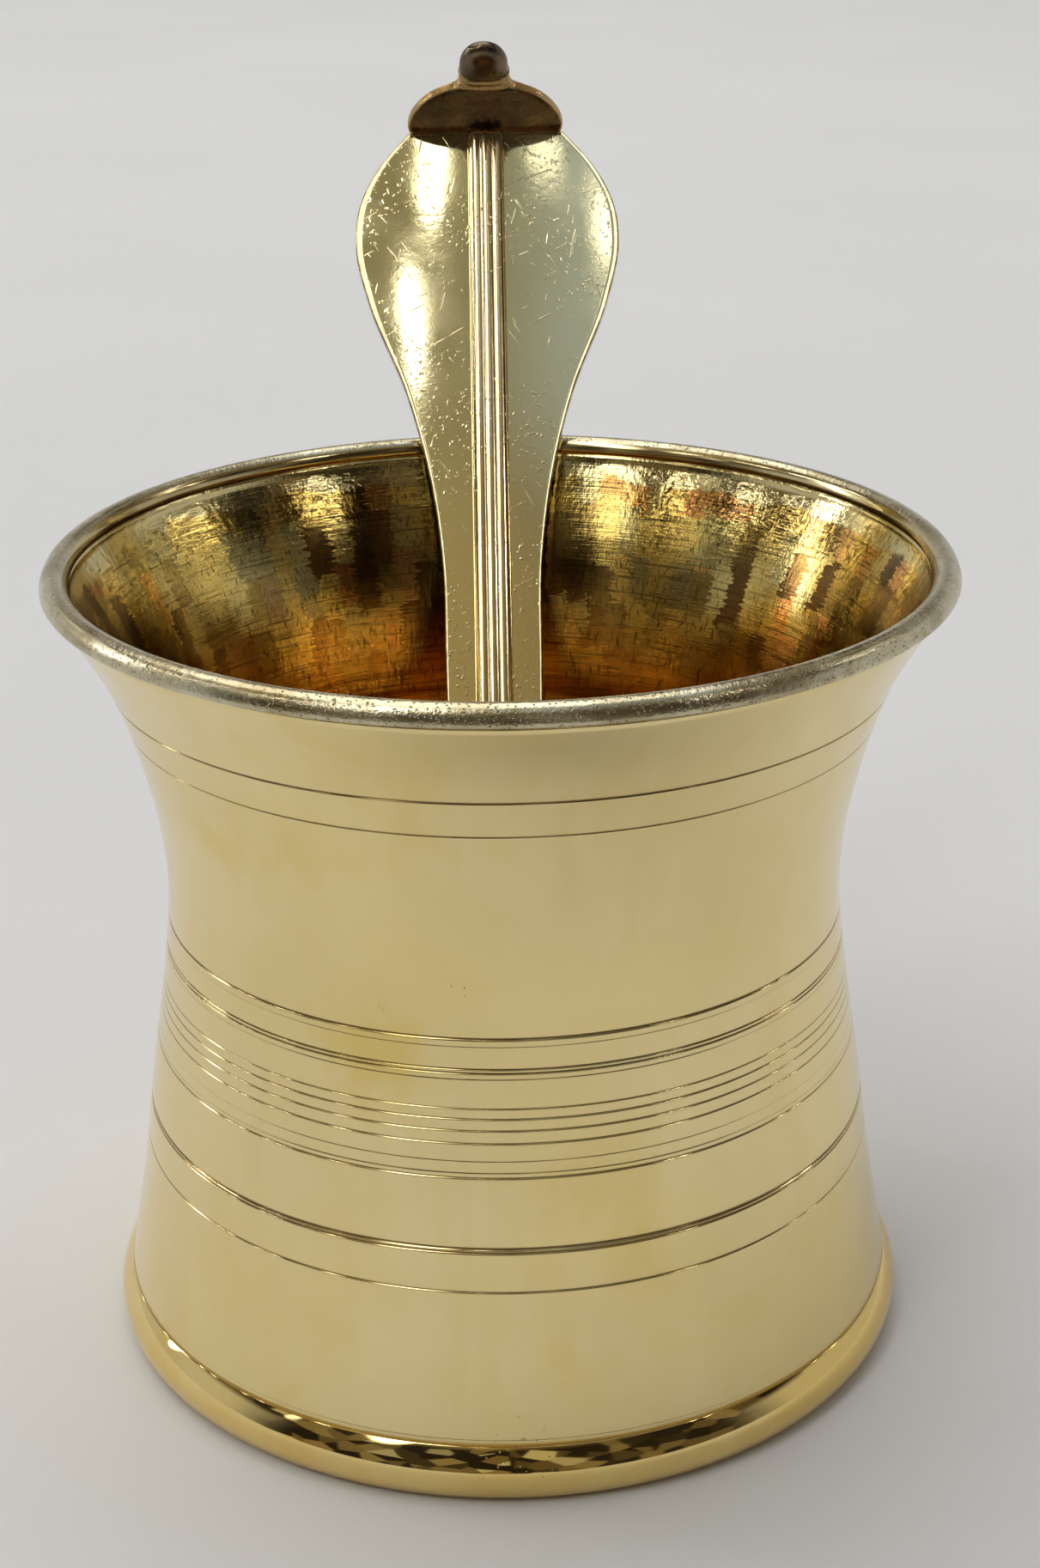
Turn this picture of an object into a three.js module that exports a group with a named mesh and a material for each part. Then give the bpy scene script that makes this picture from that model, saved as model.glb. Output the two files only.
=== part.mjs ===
// A small turned brass cup with a hooded brass spoon standing in it.
// Millimetres, +Z up. The cup's axis is Z and its underside lies on Z = 0.
// The spoon leans back on the rim at +Y and its hood faces -Y.

import * as THREE from 'three';

// ---------------------------------------------------------------- dimensions

const SIDES = 64; // sides of every round piece of the cup

const RIM_RADIUS = 40; // outside of the rim bead
const RIM_BEAD = 1.48; // radius of the rim bead's section
const RIM_CENTRE_Z = 72.66;
const RIM_CENTRE_R = RIM_RADIUS - RIM_BEAD;
const WALL_TOP_Z = 71.5;

const WALL = 1.5; // thickness of the turned wall
const FOOT_TOP_Z = 5.36; // where the wall stands on the foot bead
const FOOT_RADIUS = 37.2; // outside of the foot bead
const FOOT_BULGE = 1.9; // how far the foot bead stands out from its own middle
const FOOT_INNER_R = 33.4;
const BASE_THICKNESS = 1.6;

// The wall's outer radius at a few heights, from the foot to the rim.
const WALL_OUTLINE = [
  { z: FOOT_TOP_Z, r: 36.0 },
  { z: 15, r: 34.28 },
  { z: 25, r: 32.93 },
  { z: 35, r: 31.38 },
  { z: 45, r: 30.56 }, // the waist
  { z: 55, r: 32.03 },
  { z: 65, r: 35.4 },
  { z: WALL_TOP_Z, r: 39.1 },
];

// The turned grooves: height, depth and half the width at the mouth.
const FINE = { depth: 0.16, half: 0.2 };
const DEEP = { depth: 0.3, half: 0.36 };
const GROOVES = [
  { z: 63.2, ...DEEP },
  { z: 59.9, ...FINE },
  { z: 41.0, ...DEEP },
  { z: 38.2, ...FINE },
  { z: 35.0, ...FINE },
  { z: 34.1, ...FINE },
  { z: 33.1, ...FINE },
  { z: 32.0, ...FINE },
  { z: 29.0, ...FINE },
  { z: 22.7, ...DEEP },
  { z: 19.0, ...FINE },
];

const GAP = 0.3; // between pieces that meet inside the leaning spoon

const LEAN_DEG = 35; // the spoon's lean from upright
const ROLL_DEG = 0.5; // its slight lean to one side
const SPOON_X = -1.05; // where its middle crosses the rim
const BLADE = 1.2; // thickness of the blade
const RIM_BOW = 0.55; // the rim curves this far in behind the blade's width
const BLADE_STANDOFF = RIM_BEAD + GAP + RIM_BOW + BLADE;

// Half the blade's width at heights along it, counted from the rim.
const BLADE_OUTLINE = [
  { y: 32.9, half: 8.1 }, // where the head starts
  { y: 29.8, half: 10.9 },
  { y: 25.5, half: 13.0 },
  { y: 21.2, half: 13.45 }, // widest part of the hood
  { y: 15, half: 12.2 },
  { y: 5, half: 8.46 },
  { y: -5, half: 6.0 },
  { y: -13, half: 4.98 },
  { y: -24, half: 4.75 },
];
const BLADE_END_Y = -63.4;
const BLADE_END_HALF = 4.75;

const RIB_WIDTH = 3.7; // the fluted rib up the middle
const RIB_FLUTES = 3;
const RIB_BASE = 0.35; // thickness below the flutes
const RIB_TOP_Y = 32.4;
const RIB_END_Y = -62.4;

const HEAD_TILT_DEG = 11; // the head rises from square to the blade
const HEAD_HALF_WIDTH = 8.0;
const HEAD_REACH = 7.2; // how far forward its rounded edge goes
const HEAD_THICKNESS = 1.1;
const HEAD_ROOT_Y = 33.4;

const COLLAR = { half: 2.75, length: 2.0 }; // the collar round the snout's root
const SNOUT = { half: 2.43, thickness: 3.0, length: 3.7 };

const BOWL_HALF_LENGTH = 12;
const BOWL_HALF_WIDTH = 10.2;
const BOWL_DEPTH = 5.6;
const BOWL_WALL = 1.0;
const BOWL_CENTRE_Y = BLADE_END_Y - GAP - BOWL_HALF_LENGTH;

// ------------------------------------------------------------------ materials

const BRASS = { color: 0xb7a36f, roughness: 0.28, metalness: 1 };
const SATIN_BRASS = { color: 0xa79a78, roughness: 0.42, metalness: 1 };
const DARK_BRASS = { color: 0x6b5230, roughness: 0.3, metalness: 1 };

function piece(name, geometry, look) {
  const mesh = new THREE.Mesh(geometry, new THREE.MeshStandardMaterial(look));
  mesh.name = name;
  return mesh;
}

// -------------------------------------------------------------------- helpers

// Turns a closed outline of { r, z } points about the Z axis.
function turned(outline, sides = SIDES) {
  const points = outline.map(({ r, z }) => new THREE.Vector2(r, z));
  const geometry = new THREE.LatheGeometry(points, sides);
  geometry.rotateX(Math.PI / 2);
  return geometry;
}

function closed(outline) {
  return [...outline, outline[0]];
}

// Points on an ellipse in the { r, z } plane, angles in degrees from outward.
function arc(centreR, centreZ, radiusR, radiusZ, fromDeg, toDeg, steps) {
  const points = [];
  for (let i = 0; i <= steps; i += 1) {
    const t = THREE.MathUtils.degToRad(fromDeg + ((toDeg - fromDeg) * i) / steps);
    points.push({ r: centreR + radiusR * Math.cos(t), z: centreZ + radiusZ * Math.sin(t) });
  }
  return points;
}

function curveThrough(points) {
  return new THREE.SplineCurve(points.map(([x, y]) => new THREE.Vector2(x, y)));
}

// A flat plate: a shape in XY, extruded along +Z.
function plate(shape, thickness) {
  return new THREE.ExtrudeGeometry(shape, { depth: thickness, bevelEnabled: false });
}

// ------------------------------------------------------------------------ cup

const wallCurve = curveThrough(WALL_OUTLINE.map(({ z, r }) => [r, z]));
const WALL_SAMPLES = wallCurve.getPoints(400);

// The smooth wall's outer radius at height z.
function wallRadius(z) {
  const above = Math.max(1, WALL_SAMPLES.findIndex((point) => point.y >= z));
  const a = WALL_SAMPLES[above - 1];
  const b = WALL_SAMPLES[above];
  const t = THREE.MathUtils.clamp((z - a.y) / (b.y - a.y), 0, 1);
  return a.x + (b.x - a.x) * t;
}

function onWall(z, inset = 0) {
  return { r: wallRadius(z) - inset, z };
}

function isInGroove(z) {
  return GROOVES.some((groove) => Math.abs(z - groove.z) < 2 * groove.half);
}

function grooveOutline({ z, depth, half }) {
  return [onWall(z - half), onWall(z, depth), onWall(z + half)];
}

function wallHeights(step) {
  const count = Math.round((WALL_TOP_Z - FOOT_TOP_Z) / step);
  const heights = [];
  for (let i = 0; i <= count; i += 1) {
    heights.push(FOOT_TOP_Z + ((WALL_TOP_Z - FOOT_TOP_Z) * i) / count);
  }
  return heights;
}

function cupWall() {
  const smooth = wallHeights(5.5).filter((z) => !isInGroove(z)).map((z) => onWall(z));
  const outside = [...smooth, ...GROOVES.flatMap(grooveOutline)].sort((a, b) => a.z - b.z);
  const inside = wallHeights(6.6).reverse().map((z) => onWall(z, WALL));
  return piece('cup_wall', turned(closed([...outside, ...inside])), BRASS);
}

function rimBead() {
  const drop = RIM_CENTRE_Z - WALL_TOP_Z;
  const openDeg = THREE.MathUtils.radToDeg(Math.asin(drop / RIM_BEAD));
  const section = arc(RIM_CENTRE_R, RIM_CENTRE_Z, RIM_BEAD, RIM_BEAD, -openDeg, 180 + openDeg, 16);
  return piece('rim_bead', turned(closed(section)), SATIN_BRASS);
}

function footBead() {
  const centreR = FOOT_RADIUS - FOOT_BULGE;
  const bead = arc(centreR, FOOT_TOP_Z / 2, FOOT_BULGE, FOOT_TOP_Z / 2, -90, 68, 10);
  const outline = [
    { r: FOOT_INNER_R, z: 0 },
    ...bead,
    { r: wallRadius(FOOT_TOP_Z), z: FOOT_TOP_Z },
    { r: wallRadius(FOOT_TOP_Z) - WALL, z: FOOT_TOP_Z },
    { r: FOOT_INNER_R, z: FOOT_TOP_Z - 1.2 },
  ];
  return piece('foot_bead', turned(closed(outline)), BRASS);
}

function basePlate() {
  const outline = [
    { r: 0, z: 0 },
    { r: FOOT_INNER_R, z: 0 },
    { r: FOOT_INNER_R, z: BASE_THICKNESS },
    { r: 0, z: BASE_THICKNESS },
  ];
  return piece('base_plate', turned(outline), DARK_BRASS);
}

function cup() {
  const group = new THREE.Group();
  group.add(cupWall(), rimBead(), footBead(), basePlate());
  return group;
}

// ---------------------------------------------------------------------- spoon
// In the spoon's own frame +Y runs up the blade from the rim, +Z leaves its
// front face, and X = 0 is its middle.

function bladeShape() {
  const right = curveThrough(BLADE_OUTLINE.map(({ y, half }) => [half, y])).getPoints(36);
  const end = new THREE.Vector2(BLADE_END_HALF, BLADE_END_Y);
  const down = [...right, end];
  const up = down.map((point) => new THREE.Vector2(-point.x, point.y)).reverse();
  return new THREE.Shape([...down, ...up]);
}

function spoonBlade() {
  const geometry = plate(bladeShape(), BLADE);
  geometry.translate(0, 0, -BLADE);
  return piece('spoon_blade', geometry, BRASS);
}

// The rib's section is a low bar with round flutes side by side along its top.
function ribShape() {
  const half = RIB_WIDTH / 2;
  const fluteRadius = half / RIB_FLUTES;
  const shape = new THREE.Shape();
  shape.moveTo(-half, 0);
  shape.lineTo(half, 0);
  shape.lineTo(half, RIB_BASE);
  for (let i = RIB_FLUTES - 1; i >= 0; i -= 1) {
    const x = -half + fluteRadius * (2 * i + 1);
    shape.absarc(x, RIB_BASE, fluteRadius, 0, Math.PI, false);
  }
  shape.lineTo(-half, 0);
  return shape;
}

function spoonRib() {
  const length = RIB_TOP_Y - RIB_END_Y;
  const geometry = new THREE.ExtrudeGeometry(ribShape(), {
    depth: length,
    bevelEnabled: false,
    curveSegments: 6,
  });
  geometry.rotateX(Math.PI / 2);
  geometry.translate(0, RIB_TOP_Y, GAP);
  return piece('spoon_rib', geometry, BRASS);
}

// The head's frame: +Y runs forward along the plate, and its underside is Z = 0
// with the plate on the -Z side.
function headGroup() {
  const group = new THREE.Group();
  group.position.set(0, HEAD_ROOT_Y, 0);
  group.rotation.x = THREE.MathUtils.degToRad(90 - HEAD_TILT_DEG);
  group.add(spoonHead(), spoonSnout());
  return group;
}

// The rounded edge is cut flat over the width of the snout's collar.
const headFlatAngle = Math.acos(COLLAR.half / HEAD_HALF_WIDTH);
const headFlatY = HEAD_REACH * Math.sin(headFlatAngle);

function spoonHead() {
  const shape = new THREE.Shape();
  shape.moveTo(-HEAD_HALF_WIDTH, -BLADE);
  shape.lineTo(HEAD_HALF_WIDTH, -BLADE);
  shape.absellipse(0, 0, HEAD_HALF_WIDTH, HEAD_REACH, 0, headFlatAngle);
  shape.absellipse(0, 0, HEAD_HALF_WIDTH, HEAD_REACH, Math.PI - headFlatAngle, Math.PI);
  shape.closePath();
  const geometry = plate(shape, HEAD_THICKNESS);
  geometry.translate(0, 0, -HEAD_THICKNESS);
  return piece('spoon_head', geometry, DARK_BRASS);
}

// A collar and a round-ended nose, turned as one and flattened a little.
function spoonSnout() {
  const roundStart = COLLAR.length + SNOUT.length - SNOUT.half;
  const outline = [
    { r: 0, z: 0 },
    { r: COLLAR.half, z: 0 },
    { r: COLLAR.half, z: COLLAR.length * 0.8 },
    { r: SNOUT.half * 0.94, z: COLLAR.length },
    ...arc(0, roundStart, SNOUT.half, SNOUT.half, 0, 90, 8),
  ];
  outline[outline.length - 1].r = 0;
  const geometry = turned(outline, 28);
  geometry.scale(1, SNOUT.thickness / (2 * SNOUT.half), 1);
  geometry.rotateX(-Math.PI / 2);
  const mesh = piece('spoon_snout', geometry, DARK_BRASS);
  mesh.position.set(0, headFlatY + GAP, -HEAD_THICKNESS / 2);
  return mesh;
}

function spoonBowl() {
  const outside = arc(0, 0, BOWL_HALF_LENGTH, BOWL_DEPTH, -90, 0, 14);
  const insideLength = BOWL_HALF_LENGTH - BOWL_WALL;
  const inside = arc(0, 0, insideLength, BOWL_DEPTH - BOWL_WALL, 0, -90, 12);
  outside[0].r = 0;
  inside[inside.length - 1].r = 0;
  const geometry = turned([...outside, ...inside], 48);
  geometry.scale(BOWL_HALF_WIDTH / BOWL_HALF_LENGTH, 1, 1);
  const mesh = piece('spoon_bowl', geometry, BRASS);
  mesh.position.set(0, BOWL_CENTRE_Y, 0);
  return mesh;
}

function spoon() {
  const lean = THREE.MathUtils.degToRad(LEAN_DEG);
  const group = new THREE.Group();
  group.position.set(
    SPOON_X,
    RIM_CENTRE_R - BLADE_STANDOFF * Math.cos(lean),
    RIM_CENTRE_Z + BLADE_STANDOFF * Math.sin(lean),
  );
  group.rotation.set(Math.PI / 2 - lean, 0, THREE.MathUtils.degToRad(ROLL_DEG));
  group.add(spoonBlade(), spoonRib(), headGroup(), spoonBowl());
  return group;
}

const part = new THREE.Group();
part.add(cup(), spoon());

export default part;
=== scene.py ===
import math

import bpy
import numpy as np
from mathutils import Matrix, Vector

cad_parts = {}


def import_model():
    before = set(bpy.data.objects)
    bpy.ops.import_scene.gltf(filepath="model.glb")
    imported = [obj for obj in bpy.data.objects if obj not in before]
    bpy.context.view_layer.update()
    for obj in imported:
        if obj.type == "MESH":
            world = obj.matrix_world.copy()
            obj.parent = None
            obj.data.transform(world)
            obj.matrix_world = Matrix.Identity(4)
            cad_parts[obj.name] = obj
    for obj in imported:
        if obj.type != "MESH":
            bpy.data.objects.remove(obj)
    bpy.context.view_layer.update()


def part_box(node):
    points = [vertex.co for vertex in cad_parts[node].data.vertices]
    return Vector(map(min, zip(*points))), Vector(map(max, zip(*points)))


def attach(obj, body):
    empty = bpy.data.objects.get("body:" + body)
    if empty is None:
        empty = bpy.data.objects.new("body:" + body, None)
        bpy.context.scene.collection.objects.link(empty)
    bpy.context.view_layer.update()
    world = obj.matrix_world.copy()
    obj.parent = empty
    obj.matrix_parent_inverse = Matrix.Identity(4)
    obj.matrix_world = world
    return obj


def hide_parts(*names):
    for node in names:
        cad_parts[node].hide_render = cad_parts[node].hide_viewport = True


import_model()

# ------------------------------------------------------------------ dimensions
# Lengths are in millimetres here, as in the CAD model, and MM makes them metres.

MM = 0.001
SIDES = 288  # sides of the turned pieces
INSIDE_RINGS = 150  # rings of the wall's inside

RIM_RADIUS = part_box("rim_bead")[1].x / MM
RIM_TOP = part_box("rim_bead")[1].z / MM
RIM_BEAD = 1.48
RIM_CENTRE_Z = RIM_TOP - RIM_BEAD
RIM_CENTRE_R = RIM_RADIUS - RIM_BEAD

WALL = 1.5
WALL_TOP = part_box("cup_wall")[1].z / MM
FOOT_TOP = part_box("cup_wall")[0].z / MM
FOOT_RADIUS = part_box("foot_bead")[1].x / MM
FOOT_BULGE = 1.9
FOOT_CREST = FOOT_TOP - 2.74  # height of the foot's widest line
FOOT_BROW = 2.5  # radius of the curve over the widest line
FOOT_SLOPE = 5.5  # radius of the slope above it
BROW_TURN = 18.3  # degrees from level where the slope starts
SLOPE_TURN = 42  # and where it ends
FOOT_INNER_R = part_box("base_plate")[1].x / MM
BASE_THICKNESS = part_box("base_plate")[1].z / MM

# The wall's outer radius at a few heights.
WALL_OUTLINE = (
    (FOOT_TOP, 36.0),
    (15, 34.28),
    (25, 32.93),
    (35, 31.38),
    (45, 30.56),
    (55, 32.03),
    (65, 35.4),
    (WALL_TOP, 39.1),
)

# The turned grooves: height, depth and half the width.
GROOVES = (
    (63.2, 0.14, 0.13),
    (59.9, 0.08, 0.09),
    (41.0, 0.14, 0.14),
    (40.35, 0.02, 0.07),
    (38.4, 0.12, 0.09),
    (38.05, 0.12, 0.09),
    (37.55, 0.03, 0.07),
    (35.0, 0.07, 0.08),
    (34.1, 0.09, 0.09),
    (33.1, 0.08, 0.09),
    (32.0, 0.08, 0.09),
    (30.5, 0.02, 0.07),
    (29.5, 0.03, 0.07),
    (29.04, 0.09, 0.1),
    (22.85, 0.16, 0.16),
    (22.5, 0.12, 0.13),
    (19.0, 0.1, 0.1),
    (5.95, 0.015, 0.07),
)

# The rim is a roll along the outer edge with a narrow lip inside it, a little higher behind.
RIM_TILT = 0.53
TILT_START = 61.5
TILT_FADE = 10  # the height over which the tilt grows
ROLL_BOTTOM = 71.71
# Arcs of the roll from its underside upward: radius and the angles it turns through.
ROLL_ARCS = ((0.4, -105, 9), (2.0, 9, 36), (1.15, 36, 115))
LIP = ((37.92, 73.14), (37.7, 72.85), (37.58, 72.5), (37.5, 72.1))
LIP_FOOT = ((37.9, 71.6), (38.6, 71.6))
MOUTH_Z = 72.0  # where the wall's two faces meet, inside the rim

LEAN = math.radians(35)
ROLL = math.radians(0.5)
SPOON_X = -1.05
BLADE = 1.2
BLADE_STANDOFF = 3.53
BLADE_END = -63.9  # where the blade meets the bowl, down from the rim
BLADE_TOP = 33.3
STEM_HALF = 4.75
HOOD_HALF = 13.45
# Half the blade's width at distances up from the rim.
BLADE_OUTLINE = (
    (BLADE_END, STEM_HALF),
    (-24, STEM_HALF),
    (-13, 4.98),
    (-5, 6.0),
    (5, 8.46),
    (15, 12.2),
    (21.2, HOOD_HALF),
    (25.5, 13.0),
    (29.8, 10.9),
    (33.4, 7.9),
)
EDGE_ROUND = 0.18
HOOD_CURVE = 0.55  # how far the hood's edges bend back
RIB_END = -62.8
RIB_TOP = 33.2
RIB_WIDTH = 3.7
RIB_HEIGHT = 0.8
RIB_CROWN = 1.6  # half the width between its steep sides
RIDGE_X = (-1.2, 0.0, 1.2)  # the middles of its three ridges
RIDGE_HALF = 0.6
RIDGE_RISE = 0.17

HEAD_TILT = math.radians(11)
HEAD_ROOT = 33.4
HEAD_THICKNESS = 1.1
NECK_START = 6.0
# Half the head's width at distances forward from the blade's front face.
HEAD_OUTLINE = (
    (-1.2, 7.3),
    (-0.4, 7.75),
    (0.4, 7.95),
    (1.5, 7.83),
    (3.0, 7.27),
    (4.5, 6.24),
    (5.5, 5.16),
    (6.15, 4.0),
    (6.6, 3.15),
    (7.1, 2.75),
    (7.7, 2.55),
    (9.0, 2.5),
)
# Rings round the neck.
NECK_RINGS_START = 7.2
NECK_RING_WIDTH = 0.75
NECK_RING_DEPTH = 0.14
SNOUT_START = 8.9
SNOUT_END = 12.75
SNOUT_HALF = 2.43
SNOUT_THICKNESS = 2.95

BOWL_HALF_LENGTH = 12
BOWL_HALF_WIDTH = 10.2
BOWL_DEPTH = 5.6
BOWL_WALL = 1.0
BOWL_CENTRE_Y = -75.7

# --------------------------------------------------------------------- helpers


def smooth_through(points):
    """A smooth curve value(t) through (t, value) points, sloping as their neighbours do."""
    t = np.array([p[0] for p in points], float)
    v = np.array([p[1] for p in points], float)
    slope = np.gradient(v, t)

    def value(at):
        at = np.clip(at, t[0], t[-1])
        i = np.clip(np.searchsorted(t, at, side="right") - 1, 0, len(t) - 2)
        span = t[i + 1] - t[i]
        s = (at - t[i]) / span
        rise = v[i] * (1 + 2 * s) * (1 - s) ** 2 + v[i + 1] * s * s * (3 - 2 * s)
        bend = slope[i] * s * (1 - s) ** 2 - slope[i + 1] * s * s * (1 - s)
        return rise + bend * span

    return value


def wander(t, seed, amount, waves):
    """A small irregular swing along t from 0 to 1, the same on every run."""
    rng = np.random.default_rng(seed)
    phase = rng.uniform(0, 2 * math.pi, waves)
    size = rng.uniform(0.3, 1, waves) / np.arange(1, waves + 1) ** 0.5
    swing = sum(size[k] * np.sin(2 * math.pi * (k + 1) * t + phase[k]) for k in range(waves))
    return amount * swing / size.sum()


def add_piece(name, points, faces, node, body, materials, place=None, choice=None):
    """A smooth mesh from points in millimetres, put at place, standing for a CAD node.

    choice gives each face the number of its material, where there is more than one.
    """
    mesh = bpy.data.meshes.new(name)
    world = np.asarray(points, float)
    if place is not None:
        turn = np.array(place.to_3x3())
        world = world @ turn.T + np.array(place.translation)
    mesh.from_pydata((world * MM).tolist(), [], faces)
    mesh.update()
    mesh.polygons.foreach_set("use_smooth", [True] * len(mesh.polygons))
    for material in materials:
        mesh.materials.append(material)
    if choice is not None:
        mesh.polygons.foreach_set("material_index", [int(number) for number in choice])
    piece = bpy.data.objects.new(name, mesh)
    bpy.context.collection.objects.link(piece)
    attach(piece, body)
    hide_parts(node)
    return piece


def turned(outline, sides=SIDES):
    """Points and faces of a closed outline of (r, z) turned about Z.

    An end on the axis becomes one point.
    """
    points, rings = [], []
    angles = np.arange(sides) * 2 * math.pi / sides
    for r, z in outline:
        if r < 1e-6:
            rings.append([len(points)] * sides)
            points.append((0, 0, z))
            continue
        rings.append(list(range(len(points), len(points) + sides)))
        points.extend(zip(r * np.cos(angles), r * np.sin(angles), np.full(sides, z)))
    closed = rings + [rings[0]]
    faces = []
    for low, high in zip(closed, closed[1:]):
        for i in range(sides):
            j = (i + 1) % sides
            corners = [low[i], low[j], high[j], high[i]]
            unique = list(dict.fromkeys(corners))
            if len(unique) > 2:
                faces.append(unique)
    return points, faces


def loft(sections):
    """Points and faces through rings of equal length, with a cap on each end."""
    sections = np.asarray(sections, float)
    count, around = sections.shape[:2]
    points = sections.reshape(-1, 3).tolist()
    faces = []
    for k in range(count - 1):
        for i in range(around):
            j = (i + 1) % around
            low, high = k * around, (k + 1) * around
            faces.append([low + i, low + j, high + j, high + i])
    faces.append(list(range(around))[::-1])
    faces.append(list(range((count - 1) * around, count * around)))
    return points, faces


def ellipse(centre_r, centre_z, radius_r, radius_z, start, end, steps):
    """Points along an ellipse from a start to an end angle, in degrees."""
    angles = np.radians(np.linspace(start, end, steps + 1))
    return list(zip(centre_r + radius_r * np.cos(angles), centre_z + radius_z * np.sin(angles)))


def lean_place():
    """Where the spoon's own frame is: +Y up the blade from the rim, +Z out of its front."""
    spot = Vector(
        (
            SPOON_X,
            RIM_CENTRE_R - BLADE_STANDOFF * math.cos(LEAN),
            RIM_CENTRE_Z + BLADE_STANDOFF * math.sin(LEAN),
        )
    )
    turn = Matrix.Rotation(math.pi / 2 - LEAN, 4, "X") @ Matrix.Rotation(ROLL, 4, "Z")
    return Matrix.Translation(spot) @ turn


SPOON_PLACE = lean_place()
HEAD_PLACE = (
    SPOON_PLACE
    @ Matrix.Translation((0, HEAD_ROOT, 0))
    @ Matrix.Rotation(math.pi / 2 - HEAD_TILT, 4, "X")
)

# ------------------------------------------------------------------- materials


class Nodes:
    """Patterns built up in a node tree. place is where the point being shaded is."""

    def __init__(self, tree, coordinates):
        self.tree = tree
        self.place = self.add("ShaderNodeTexCoord").outputs[coordinates]

    def add(self, kind, inputs=(), **settings):
        made = self.tree.nodes.new(kind)
        for key, value in settings.items():
            setattr(made, key, value)
        for key, value in dict(inputs).items():
            self.set(made.inputs[key], value)
        return made

    def set(self, socket, value):
        if isinstance(value, bpy.types.NodeSocket):
            self.tree.links.new(value, socket)
        else:
            socket.default_value = value

    def parts(self, vector):
        return self.add("ShaderNodeSeparateXYZ", {"Vector": vector}).outputs

    def scaled(self, x, y, z, turn=None):
        """The place, turned if asked, then stretched by x, y and z."""
        at = self.place
        if turn is not None:
            inputs = {"Vector": at, "Rotation": turn}
            made = self.add("ShaderNodeVectorRotate", inputs, rotation_type="EULER_XYZ")
            at = made.outputs["Vector"]
        made = self.add("ShaderNodeVectorMath", operation="MULTIPLY")
        self.set(made.inputs[0], at)
        self.set(made.inputs[1], (x, y, z))
        return made.outputs["Vector"]

    def noise(self, scale, detail=4.0, roughness=0.5, at=None, distortion=0.0):
        inputs = {
            "Vector": at or self.place,
            "Scale": scale,
            "Detail": detail,
            "Roughness": roughness,
            "Distortion": distortion,
        }
        return self.add("ShaderNodeTexNoise", inputs).outputs["Fac"]

    def cells(self, scale, at=None, randomness=1.0, distance="EUCLIDEAN"):
        inputs = {"Vector": at or self.place, "Scale": scale, "Randomness": randomness}
        return self.add("ShaderNodeTexVoronoi", inputs, distance=distance)

    def between(self, value, low, high, to_low=0.0, to_high=1.0):
        inputs = {
            "Value": value,
            "From Min": low,
            "From Max": high,
            "To Min": to_low,
            "To Max": to_high,
        }
        made = self.add("ShaderNodeMapRange", inputs, interpolation_type="SMOOTHSTEP")
        return made.outputs["Result"]

    def math(self, operation, a, b=0.0):
        made = self.add("ShaderNodeMath", operation=operation)
        self.set(made.inputs[0], a)
        self.set(made.inputs[1], b)
        return made.outputs[0]

    def mix(self, factor, a, b):
        made = self.add("ShaderNodeMix", data_type="RGBA")
        self.set(made.inputs["Factor"], factor)
        self.set(made.inputs["A"], a)
        self.set(made.inputs["B"], b)
        return made.outputs["Result"]


class Surface(Nodes):
    """A metal surface under construction: its colour, gloss and relief are built up in nodes."""

    def __init__(self, name):
        self.material = bpy.data.materials.new(name)
        self.material.use_nodes = True
        super().__init__(self.material.node_tree, "Object")
        self.shader = self.tree.nodes["Principled BSDF"]
        self.shader.inputs["Metallic"].default_value = 1.0

    def relief(self, height, distance, below=None):
        inputs = {"Height": height, "Distance": distance, "Strength": 1.0}
        if below is not None:
            inputs["Normal"] = below
        return self.add("ShaderNodeBump", inputs).outputs["Normal"]

    def mark(self, name):
        return self.add("ShaderNodeAttribute", attribute_name=name).outputs["Fac"]

    def finish(self, colour, roughness, normal):
        self.set(self.shader.inputs["Base Color"], colour)
        self.set(self.shader.inputs["Roughness"], roughness)
        self.set(self.shader.inputs["Normal"], normal)
        return self.material


def rgb(red, green, blue):
    return (red, green, blue, 1.0)


TARNISH_AND_DARK_REFLECTION = rgb(0.13, 0.07, 0.02)
TARNISH_AND_REFLECTION_LINES = rgb(0.09, 0.055, 0.02)
GOLD = rgb(0.90, 0.65, 0.18)
OLIVE = rgb(0.62, 0.53, 0.22)
RED_BRASS = rgb(0.55, 0.24, 0.08)
ORANGE_REFLECTION = rgb(0.78, 0.38, 0.08)
BAND_DARK = rgb(0.30, 0.12, 0.03)
BAND_BRIGHT = rgb(0.98, 0.66, 0.18)
MOUTH_PALE = rgb(0.68, 0.57, 0.28)
GROOVE_DIRT = rgb(0.13, 0.06, 0.02)
PIT_DIRT = rgb(0.09, 0.06, 0.03)
EDGE_DARKENING = rgb(0.20, 0.13, 0.06)
HEAD_PATINA = rgb(0.20, 0.135, 0.08)
SCRATCH = rgb(0.9, 0.86, 0.7)

# Heights, in metres, between which the cup's inside and the spoon's blade change.
INSIDE_BANDED = (0.049, 0.055)
INSIDE_ORANGE_REFLECTION = (0.05, 0.063)
MOUTH_DIMPLED = (0.066, 0.069)
MOUTH_GLOSSY = (0.0665, 0.069)
MOUTH_EDGE = (0.0719, 0.0725)
BLADE_SCRATCHED = (0.076, 0.092)

BLOCKS_AROUND = 15.0  # blocks of tarnish and painted reflection for each radian round the inside
BLOCKS_UP = 230.0  # and for each metre up
FAR_AWAY = (0, 0, 9)  # metres, where a smudge is out of sight

# In the functions below, s is the surface that is being built.


def scratches(s, turns, thin=2600, long=260, least=0.73):
    """Thin, slightly bent marks along a few directions: 1 on a scratch and 0 elsewhere."""
    marks = None
    for turn in turns:
        at = s.scaled(thin, long, 400, turn)
        streak = s.noise(1.0, detail=1.0, at=at, distortion=0.4)
        mark = s.between(streak, least, least + 0.06)
        marks = mark if marks is None else s.math("MAXIMUM", marks, mark)
    return marks


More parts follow.
